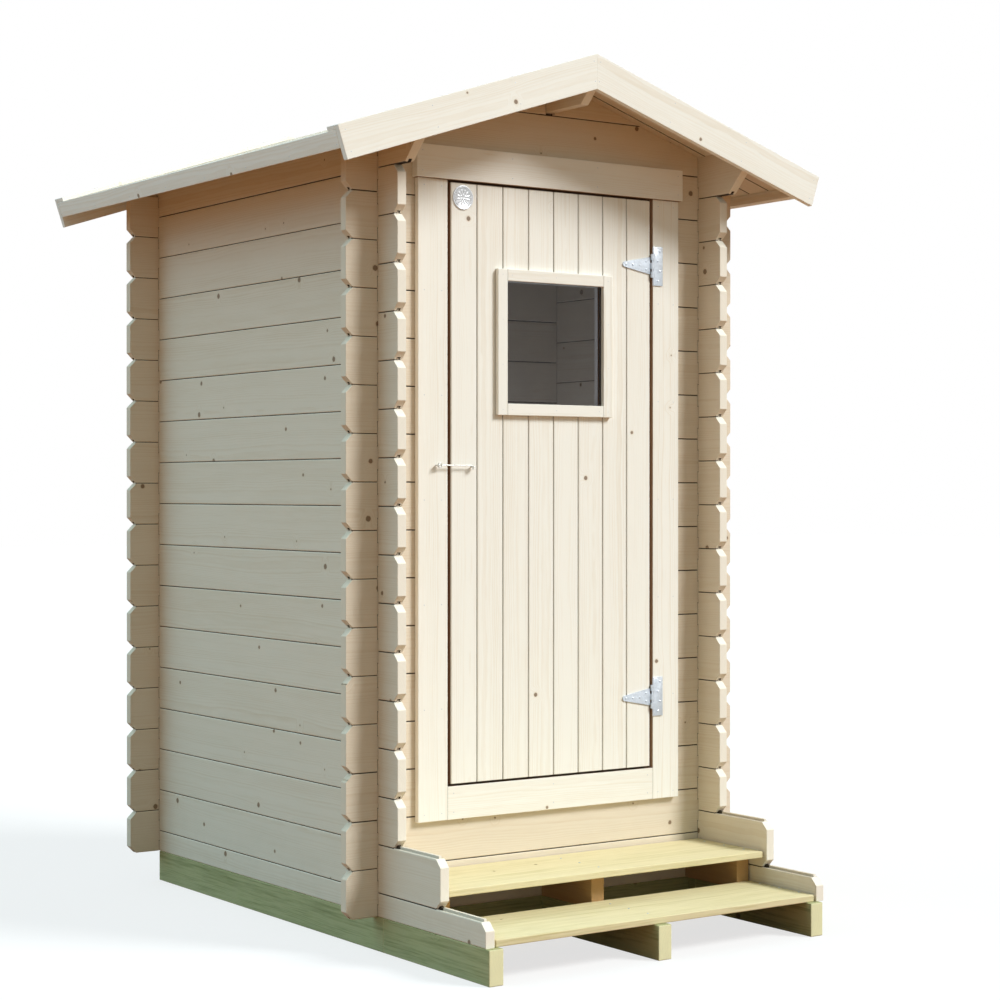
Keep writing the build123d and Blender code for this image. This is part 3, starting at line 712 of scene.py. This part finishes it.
def zinc_material(name, colour, rough=0.42, metal=0.85):
    """Galvanised steel with its spangle."""
    _, tree, shader = new_material(name)
    spot = tree.node("ShaderNodeTexCoord").outputs["Object"]
    cells = tree.node("ShaderNodeTexVoronoi", {"Vector": spot, "Scale": 260.0}).outputs["Color"]
    spangle = tree.node("ShaderNodeSeparateColor", {0: cells}).outputs[0]
    cloud = tree.noise(spot, 90.0, 3.0)
    shade = tree.math("ADD", tree.times(spangle, 0.5), tree.times(cloud, 0.5))
    dull, bright = [v * 0.84 for v in colour], [min(1.0, v * 1.12) for v in colour]
    links = tree.tree.links
    links.new(tree.mix(shade, dull, bright), shader["Base Color"])
    links.new(tree.ramp(shade, 0.2, 0.8, rough - 0.08, rough + 0.10), shader["Roughness"])
    shader["Metallic"].default_value = metal
    bump = tree.node("ShaderNodeBump", {"Strength": 0.15, "Distance": 0.0002, "Height": cloud})
    links.new(bump.outputs[0], shader["Normal"])


def glass_material():
    """Dark tinted pane with a faint dust film."""
    _, tree, shader = new_material("tinted_pane")
    spot = tree.node("ShaderNodeTexCoord").outputs["Object"]
    film = tree.ramp(tree.noise(spot, 9.0, 5.0, 0.65), 0.35, 0.8)
    links = tree.tree.links
    tint = settings("colours").glass
    links.new(tree.mix(film, tuple(tint), [v * 0.93 for v in tint]), shader["Base Color"])
    links.new(tree.ramp(film, 0.0, 1.0, 0.02, 0.06), shader["Roughness"])
    shader["Transmission Weight"].default_value = 1.0
    shader["IOR"].default_value = 1.25


def seen_directly(tree):
    """1 for rays that show the surround itself: to the camera, in gloss or through glass."""
    ray = tree.node("ShaderNodeLightPath").outputs
    shown = tree.math("MAXIMUM", ray["Is Glossy Ray"], ray["Is Transmission Ray"])
    return tree.math("MAXIMUM", ray["Is Camera Ray"], shown)


# ------------------------------------------------------------------ operators
class OUTHOUSE_OT_finishes(bpy.types.Operator):
    """Build the shared node groups and every finish"""

    bl_idname = "outhouse.finishes"
    bl_label = "Finishes"

    def execute(self, context):
        colours = settings("colours")
        growth_rings_group()
        ground_dust_group()
        spruce, ring = tuple(colours.spruce), tuple(colours.spruce_ring)
        board, board_ring = tuple(colours.board), tuple(colours.board_ring)
        # painted light and shade: the side logs' ends, facing front and back, are paler as if sunlit; the
        # cross logs' ends, facing the sides, are darker as if in shade
        ends = {"side_log_finish_painted_lit_ends": (0.93, 0.875, 0.775), "cross_log_finish_painted_shaded_ends": (0.80, 0.69, 0.55)}
        for name, end_colour in ends.items():
            timber_material(name, spruce, ring, spacing=0.0034, knots=0.42, end_colour=end_colour,
                            knot_size=1.25, joint_painted_shade=(0.03, 0.02, 0.012), joint_depth=0.96)
        timber_material("board_finish", board, board_ring, spacing=0.0030, knots=0.22, contrast=0.24,
                        joint_painted_shade=(0.12, 0.075, 0.04), joint_depth=0.88, joint_full=0.85)
        timber_material("roof_finish", spruce, ring, spacing=0.0034, knots=0.4, joint_depth=0.97,
                        joint_full=0.28)
        # the tread blocks' dark orange-brown is partly the wood's colour and partly painted shade from under
        # the tread
        timber_material("block_finish_with_painted_shade", (0.52, 0.31, 0.14), (0.36, 0.20, 0.085), spacing=0.0034,
                        streaks=0.4, rough=0.75)
        timber_material("floor_finish", [v * 0.9 for v in spruce], ring, spacing=0.0034, knots=0.5,
                        contrast=0.5, streaks=0.3, rough=0.7)
        timber_material("beam_finish", tuple(colours.treated), tuple(colours.treated_ring),
                        spacing=0.0042, knots=0.4, contrast=0.35, streaks=0.95, rough=0.78,
                        end_colour=(0.84, 0.82, 0.52), grip=0.4, knot_size=1.7, gloss=0.1)
        timber_material("tread_finish", tuple(colours.tread), tuple(colours.tread_ring),
                        spacing=0.0050, knots=0.12, contrast=0.30, streaks=0.75, rough=0.75,
                        grip=0.35, gloss=0.08)
        zinc_material("zinc", tuple(colours.zinc))
        zinc_material("bright_wire", (0.60, 0.59, 0.56), rough=0.34, metal=0.6)
        zinc_material("pressed_badge", (0.68, 0.69, 0.71), rough=0.36, metal=0.6)
        glass_material()
        return {"FINISHED"}


class OUTHOUSE_OT_log_walls(bpy.types.Operator):
    """Dress the interlocking wall logs, the gables, the partition and the purlin"""

    bl_idname = "outhouse.log_walls"
    bl_label = "Log Walls"

    def execute(self, context):
        for node in LOG_NODES:
            along = 1 if node in SIDE_LOGS else 0
            # the two log finishes differ only in their end colour, which is painted light or painted shade
            finish = bpy.data.materials["side_log_finish_painted_lit_ends" if along else "cross_log_finish_painted_shaded_ends"]
            timber(node + "_logs", node, finish, "log", edge=settings("sizes").log_edge, along=along,
                   reach=LOG_REACH, near=LOG_NODES)
        return {"FINISHED"}


class OUTHOUSE_OT_foundation(bpy.types.Operator):
    """Dress the treated bearers, step joists and tread blocks"""

    bl_idname = "outhouse.foundation"
    bl_label = "Foundation"

    def execute(self, context):
        finishes = dict.fromkeys(("side_beams", "cross_beams", "centre_beam", "step_joists"), "beam_finish")
        # the blocks' finish holds painted shade
        finishes["tread_blocks"] = "block_finish_with_painted_shade"
        for node, finish in finishes.items():
            timber(node + "_sawn", node, bpy.data.materials[finish], "treated_beam",
                   edge=settings("sizes").beam_edge)
        return {"FINISHED"}


class OUTHOUSE_OT_steps(bpy.types.Operator):
    """Dress the two treads"""

    bl_idname = "outhouse.steps"
    bl_label = "Steps"

    def execute(self, context):
        finish = bpy.data.materials["tread_finish"]
        for node in ("lower_tread", "upper_tread"):
            timber(node + "_board", node, finish, "treated_tread", edge=settings("sizes").beam_edge)
        found = []
        for node, carrier in (("lower_tread", "step_joists"), ("upper_tread", "tread_blocks")):
            low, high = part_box(node)
            for foot, head in solid_boxes(carrier):
                x = (foot.x + head.x) / 2
                for share in (0.2, 0.5, 0.8):
                    spot = Vector((x, low.y + (high.y - low.y) * share, high.z))
                    found.append((spot, axis_vector(2)))
        screw_heads("tread_screws", found, radius=0.0030)
        return {"FINISHED"}


class OUTHOUSE_OT_roof(bpy.types.Operator):
    """Board the roof slopes and dress the bargeboards, laths and fascias"""

    bl_idname = "outhouse.roof"
    bl_label = "Roof"

    def execute(self, context):
        finish = bpy.data.materials["board_finish"]
        for node in ("bargeboards", "edge_laths", "eave_fascias"):
            timber(node + "_planed", node, finish, "planed_board", edge=settings("sizes").board_edge,
                   pitch=ROOF_PITCH)
        for node in ("roof_left", "roof_right"):
            self.slope(node)
        self.nails()
        return {"FINISHED"}

    def slope(self, node):
        """Cut a slope's slab into boards that run from ridge to eave."""
        sizes = settings("sizes")
        low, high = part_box(node)
        bm = cad_copy(node)
        cut_boards(bm, 1, low.y, high.y, sizes.roof_boards)
        ease_edges(bm, sizes.board_joint, 1, ridge_seam=True)
        shade_joints(bm, BOARD_REACH)
        lay_grain(bm, node, ROOF_PITCH, along=0)
        finish_piece(bm, node + "_boards", bpy.data.materials["roof_finish"], "roof_board", "cabin", node)

    def nails(self):
        """Nail the bargeboards, the fascias and every roof board."""
        outer = []
        for side in (-1, 1):
            barges = board_spots(cad_copy("bargeboards"), 1, side, edge=0.018, spacing=0.30, pitch=ROOF_PITCH)
            outer += [(spot, out) for spot, out in barges if spot.y * side > 0]
        outer += board_spots(cad_copy("eave_fascias"), 0, 0, edge=0.012, spacing=0.26, pitch=ROOF_PITCH)
        nail_heads("roof_trim_nails", outer)
        found = []
        low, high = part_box("roof_left")
        boards = settings("sizes").roof_boards
        cover = (high.y - low.y) / boards
        over_purlin, over_wall = 0.022, abs(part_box("left_wall")[0].x) / math.cos(ROOF_PITCH)
        for side in (-1, 1):
            slope = Vector((side * math.cos(ROOF_PITCH), 0, -math.sin(ROOF_PITCH)))
            outward = Vector((side * math.sin(ROOF_PITCH), 0, math.cos(ROOF_PITCH)))
            for run in (over_purlin, over_wall):
                for board in range(boards):
                    for part in (0.3, 0.7):
                        spot = Vector((0, 0, high.z)) + slope * run
                        spot.y = low.y + (board + part) * cover
                        found.append((spot, outward))
        nail_heads("roof_board_nails", found)


class OUTHOUSE_OT_floor(bpy.types.Operator):
    """Dress the floor and what carries it"""

    bl_idname = "outhouse.floor"
    bl_label = "Floor"

    def execute(self, context):
        finish = bpy.data.materials["floor_finish"]
        sizes = settings("sizes")
        for node in ("floor_joists", "floor_ledgers"):
            timber(node + "_sawn", node, finish, "floor_timber", edge=sizes.board_edge)
        low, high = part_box("floor")
        bm = cad_copy("floor")
        cut_boards(bm, 0, low.x, high.x, sizes.floor_boards)
        ease_edges(bm, sizes.board_joint, 1)
        shade_joints(bm, BOARD_REACH)
        lay_grain(bm, "floor_boards", along=1)
        finish_piece(bm, "floor_boards", finish, "floor_timber", "cabin", "floor")
        cover = (high.x - low.x) / sizes.floor_boards
        found = []
        for near, far in solid_boxes("floor_joists"):
            y = (near.y + far.y) / 2
            for board in range(sizes.floor_boards):
                for part in (0.25, 0.75):
                    found.append((Vector((low.x + (board + part) * cover, y, high.z)), axis_vector(2)))
        nail_heads("floor_nails", found)
        return {"FINISHED"}


class OUTHOUSE_OT_door_surround(bpy.types.Operator):
    """Dress the door frame, stops, casings and header"""

    bl_idname = "outhouse.door_surround"
    bl_label = "Door Surround"

    def execute(self, context):
        finish = bpy.data.materials["board_finish"]
        for node in ("door_frame", "door_stops", "door_casings", "door_header", "inner_casings"):
            timber(node + "_planed", node, finish, "planed_board", edge=settings("sizes").board_edge,
                   reach=GAP_REACH, near=DOORWAY)
        found = []
        for node, side, edge in (
                ("door_casings", -1, 0.020), ("door_header", -1, 0.018), ("inner_casings", 1, 0.020)):
            found += board_spots(cad_copy(node), 1, side, edge, spacing=0.29)
        nail_heads("casing_nails", found)
        return {"FINISHED"}


class OUTHOUSE_OT_door_leaf(bpy.types.Operator):
    """Dress the door's boards, ledges and window trims"""

    bl_idname = "outhouse.door_leaf"
    bl_label = "Door Leaf"

    def execute(self, context):
        finish = bpy.data.materials["board_finish"]
        for node in ("door_boards", "door_ledges", "window_trim_outer", "window_trim_inner"):
            timber(node + "_planed", node, finish, "planed_board", settings("sizes").board_edge, "door",
                   along=2 if node == "door_boards" else None, reach=GAP_REACH, near=DOORWAY)
        found = []
        for node, side in (("window_trim_outer", -1), ("window_trim_inner", 1)):
            found += board_spots(cad_copy(node), 1, side, edge=0.016, spacing=0.15)
        nail_heads("window_trim_nails", found, "door", radius=0.0011)
        found = board_spots(cad_copy("door_ledges"), 1, 1, edge=0.020, spacing=0.089)
        screw_heads("ledge_screws", found, "door", radius=0.0036)
        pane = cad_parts["window_glass"].data
        pane.materials.clear()
        pane.materials.append(bpy.data.materials["tinted_pane"])
        return {"FINISHED"}


class OUTHOUSE_OT_ironmongery(bpy.types.Operator):
    """Make the tee hinges, their screws, the wire hook with its eyes, and the badge"""

    bl_idname = "outhouse.ironmongery"
    bl_label = "Ironmongery"

    def execute(self, context):
        zinc = bpy.data.materials["zinc"]
        for node, body in (("hinge_plates", "cabin"), ("hinge_straps", "door"), ("hinge_pins", "cabin")):
            bm = cad_copy(node)
            ease_edges(bm, HINGE_EASE)
            round_surfaces(bm)
            finish_piece(bm, node + "_zinc", zinc, "galvanised", body, node)
        self.hinge_screws()
        self.eye("casing_eye", "cabin")
        self.eye("door_eye", "door")
        self.hook()
        self.badge()
        return {"FINISHED"}

    def hinge_screws(self):
        """Screws through the plates into the casing and through the straps into the leaf."""
        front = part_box("door_casings")[0].y - HINGE_FACE
        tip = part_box("hinge_straps")[0].x + STRAP_TIP
        out = Vector((0, -1, 0))
        plates, straps = [], []
        for near, far in solid_boxes("hinge_plates"):
            for share, inset in PLATE_SCREWS:
                plates.append((Vector((far.x - inset, front, near.z + (far.z - near.z) * share)), out))
            height = (near.z + far.z) / 2
            for run, rise in STRAP_SCREWS:
                straps.append((Vector((tip + run, front, height + rise)), out))
        screw_heads("hinge_plate_screws", plates)
        screw_heads("hinge_strap_screws", straps, "door")

    def eye(self, node, body):
        """A screw eye: a ring of wire on a plain shank."""
        low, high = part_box(node)
        centre = (low + high) / 2
        centre.y = low.y + RING + WIRE
        bm = bmesh.new()
        wire_ring(bm, centre, Vector((0, 0, 1)), RING, WIRE)
        start = Vector((centre.x, high.y, centre.z))
        shank = wire_start(bm, start, (0, -1, 0), WIRE * 1.15)
        wire_straight(bm, shank, (0, centre.y + RING - high.y, 0))
        round_surfaces(bm)
        finish_piece(bm, node + "_wire", bpy.data.materials["bright_wire"], "galvanised", body, node)

    def hook(self):
        """The hook: a closed loop, a straight arm and a tip that turns down."""
        low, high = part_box("latch_hook")
        y = (low.y + high.y) / 2
        z = high.z - RING - WIRE
        pivot = Vector((low.x + RING + WIRE, y, z))
        bm = bmesh.new()
        wire_ring(bm, pivot, Vector((0, 1, 0)), RING, WIRE)
        start = pivot + Vector((RING, 0, 0))
        bend_x = high.x - WIRE - BEND
        face = wire_start(bm, start, (1, 0, 0), WIRE)
        face = wire_straight(bm, face, (bend_x - start.x, 0, 0))
        face = wire_bend(bm, face, (bend_x, y, z - BEND), (0, 1, 0), math.pi / 2)
        face = wire_straight(bm, face, (0, 0, low.z + WIRE - (z - BEND)))
        bmesh.ops.bevel(bm, geom=list(face.edges), offset=WIRE * 0.6, offset_type="OFFSET",
                        affect="EDGES", segments=3, profile=0.5, material=-1)
        round_surfaces(bm)
        finish_piece(bm, "latch_hook_wire", bpy.data.materials["bright_wire"], "galvanised", "latch",
                     "latch_hook")

    def badge(self):
        """A round pressed badge: beaded rim round a plain rosette."""
        low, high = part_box("badge")
        radius = (high.x - low.x) / 2
        thick = high.y - low.y
        bm = bmesh.new()
        rim = bmesh.ops.create_circle(bm, cap_ends=True, segments=64, radius=radius)["verts"]
        face = wire_straight(bm, rim[0].link_faces[0], (0, 0, thick * 0.75))
        bmesh.ops.inset_region(bm, faces=[face], thickness=radius * 0.03, depth=thick * 0.18)
        bmesh.ops.inset_region(bm, faces=[face], thickness=radius * 0.06, depth=0)
        bmesh.ops.inset_region(bm, faces=[face], thickness=radius * 0.03, depth=-thick * 0.35)
        field = thick * 0.58
        beads = 36
        for bead in range(beads):
            turn = Matrix.Rotation(math.tau * bead / beads, 4, "Z")
            place = turn @ Matrix.Translation((radius * 0.80, 0, field)) @ Matrix.Scale(0.045 * radius, 4)
            bmesh.ops.create_icosphere(bm, subdivisions=1, radius=1, matrix=place)
        outer_petals, inner_petals = (12, 0.46, 0.25, 0.085, 0.40), (6, 0.20, 0.16, 0.085, 0.55)
        for petals, reach, length, width, rise in (outer_petals, inner_petals):
            for petal in range(petals):
                turn = Matrix.Rotation(math.tau * (petal + 0.5) / petals, 4, "Z")
                shape = Matrix.Diagonal((length * radius, width * radius, rise * thick, 1))
                place = turn @ Matrix.Translation((reach * radius, 0, field)) @ shape
                bmesh.ops.create_uvsphere(bm, u_segments=12, v_segments=8, radius=1, matrix=place)
        dome = Matrix.Diagonal((0.09 * radius, 0.09 * radius, 0.8 * thick, 1))
        boss = Matrix.Translation((0, 0, field)) @ dome
        bmesh.ops.create_uvsphere(bm, u_segments=16, v_segments=10, radius=1, matrix=boss)
        middle = (low + high) / 2
        middle.y = high.y
        bmesh.ops.transform(bm, matrix=facing(middle, (0, -1, 0)), verts=bm.verts)
        round_surfaces(bm, math.radians(50))
        finish_piece(bm, "badge_pressed", bpy.data.materials["pressed_badge"], "badge_metal", "door",
                     "badge")


class OUTHOUSE_OT_stage(bpy.types.Operator):
    """Set the floor, the lights and the camera"""

    bl_idname = "outhouse.stage"
    bl_label = "Stage"

    def execute(self, context):
        studio = settings("studio")
        scene = context.scene
        scene.view_settings.view_transform = "Standard"
        self.camera(scene, studio)
        self.room(scene, studio)
        self.lamp(scene, "key", studio.key_strength, **KEY_LAMP)
        self.lamp(scene, "fill", studio.fill_strength, **FILL_LAMP)
        self.room_lamp(scene)
        self.ground(scene)
        return {"FINISHED"}

    def camera(self, scene, studio):
        """The camera, turned about the upright axis and raised or lowered from level."""
        data = bpy.data.cameras.new("camera")
        data.sensor_width = 36
        data.lens = studio.lens
        eye = bpy.data.objects.new("camera", data)
        scene.collection.objects.link(eye)
        eye.location = studio.camera_place
        eye.rotation_euler = (math.pi / 2 + studio.camera_pitch, 0, studio.camera_heading - math.pi / 2)
        scene.camera = eye

    def room(self, scene, studio):
        """Even, faintly cool light from all round, behind a white surround."""
        world = bpy.data.worlds.new("room")
        scene.world = world
        world.use_nodes = True
        tree = Tree(world.node_tree)
        lit = world.node_tree.nodes["Background"]
        lit.inputs["Color"].default_value = SKY_COLOUR
        lit.inputs["Strength"].default_value = studio.sky_strength
        white = tree.node("ShaderNodeBackground", {"Color": (1, 1, 1, 1), "Strength": 1.0})
        seen = seen_directly(tree)
        mix = tree.node("ShaderNodeMixShader", {0: seen, 1: lit.outputs[0], 2: white.outputs[0]})
        tree.tree.links.new(mix.outputs[0], world.node_tree.nodes["World Output"].inputs[0])

    def lamp(self, scene, name, strength, softness, colour, bearing):
        """A distant lamp; its bearing is in degrees to the right of the front, and above level."""
        data = bpy.data.lights.new(name, "SUN")
        data.energy = strength
        data.angle = math.radians(softness)
        data.color = colour
        lamp = bpy.data.objects.new(name, data)
        scene.collection.objects.link(lamp)
        turn, rise = map(math.radians, bearing)
        aim = Vector((math.sin(turn) * math.cos(rise), -math.cos(turn) * math.cos(rise), math.sin(rise)))
        lamp.rotation_euler = aim.to_track_quat("Z", "Y").to_euler()

    def room_lamp(self, scene):
        """A small soft lamp under the front room's ceiling, so that the pane shows the walls behind it."""
        data = bpy.data.lights.new("room_lamp", "POINT")
        data.energy = ROOM_LAMP_POWER
        data.color = ROOM_LAMP_COLOUR
        data.shadow_soft_size = ROOM_LAMP_RADIUS
        lamp = bpy.data.objects.new("room_lamp", data)
        scene.collection.objects.link(lamp)
        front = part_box("front_wall_left")[1]
        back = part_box("partition_wall")[0]
        lamp.location = (0.1, front.y * 0.4 + back.y * 0.6, front.z * 0.62)
        lamp.visible_camera = False

    def ground(self, scene):
        """A pale floor that keeps a soft shadow and lights the undersides as earth would."""
        bm = bmesh.new()
        bmesh.ops.create_grid(bm, x_segments=1, y_segments=1, size=GROUND_HALF)
        mesh = bpy.data.meshes.new("ground")
        bm.to_mesh(mesh)
        bm.free()
        ground = bpy.data.objects.new("ground", mesh)
        scene.collection.objects.link(ground)
        ground.location.z = -GROUND_DROP
        material, tree, shader = new_material("studio_floor")
        shader["Base Color"].default_value = (0.92, 0.92, 0.92, 1)
        shader["Roughness"].default_value = 0.9
        shader["Specular IOR Level"].default_value = 0.1
        white = tree.node("ShaderNodeEmission", {"Color": (1, 1, 1, 1), "Strength": 1.0})
        earth = tree.node("ShaderNodeBsdfDiffuse", {"Color": EARTH})
        nodes = material.node_tree.nodes
        pale = tree.node("ShaderNodeMixShader", {
            0: GROUND_GLOW, 1: nodes["Principled BSDF"].outputs[0], 2: white.outputs[0]})
        shown = tree.node("ShaderNodeMixShader", {
            0: seen_directly(tree), 1: earth.outputs[0], 2: pale.outputs[0]})
        tree.tree.links.new(shown.outputs[0], nodes["Material Output"].inputs[0])
        mesh.materials.append(material)


class OUTHOUSE_PT_panel(bpy.types.Panel):
    """Shows a button for each dressing step and the settings"""

    bl_label = "Outhouse"
    bl_idname = "OUTHOUSE_PT_panel"
    bl_space_type = "VIEW_3D"
    bl_region_type = "UI"
    bl_category = "Outhouse"

    def draw(self, context):
        for name in STEPS:
            self.layout.operator("outhouse." + name)
        for group in GROUPS:
            box = self.layout.box()
            values = settings(group)
            for key in values.bl_rna.properties.keys():
                if key not in ("name", "rna_type"):
                    box.prop(values, key)


STEPS = ("finishes", "log_walls", "foundation", "steps", "roof", "floor", "door_surround",
         "door_leaf", "ironmongery", "stage")
GROUPS = {"sizes": TimberSizes, "colours": TimberColours, "studio": StudioSettings}
CLASSES = (
    TimberSizes, TimberColours, StudioSettings, OUTHOUSE_OT_finishes, OUTHOUSE_OT_log_walls,
    OUTHOUSE_OT_foundation, OUTHOUSE_OT_steps, OUTHOUSE_OT_roof, OUTHOUSE_OT_floor,
    OUTHOUSE_OT_door_surround, OUTHOUSE_OT_door_leaf, OUTHOUSE_OT_ironmongery, OUTHOUSE_OT_stage,
    OUTHOUSE_PT_panel,
)


def register():
    """Register the classes and put the settings on the scene."""
    for cls in CLASSES:
        bpy.utils.register_class(cls)
    for group, cls in GROUPS.items():
        setattr(bpy.types.Scene, "outhouse_" + group, PointerProperty(type=cls))


def unregister():
    """Take the settings and the classes away again."""
    for group in GROUPS:
        delattr(bpy.types.Scene, "outhouse_" + group)
    for cls in reversed(CLASSES):
        bpy.utils.unregister_class(cls)


def main():
    """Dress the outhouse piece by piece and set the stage."""
    register()
    for name in STEPS:
        getattr(bpy.ops.outhouse, name)()


if __name__ == "__main__":
    main()
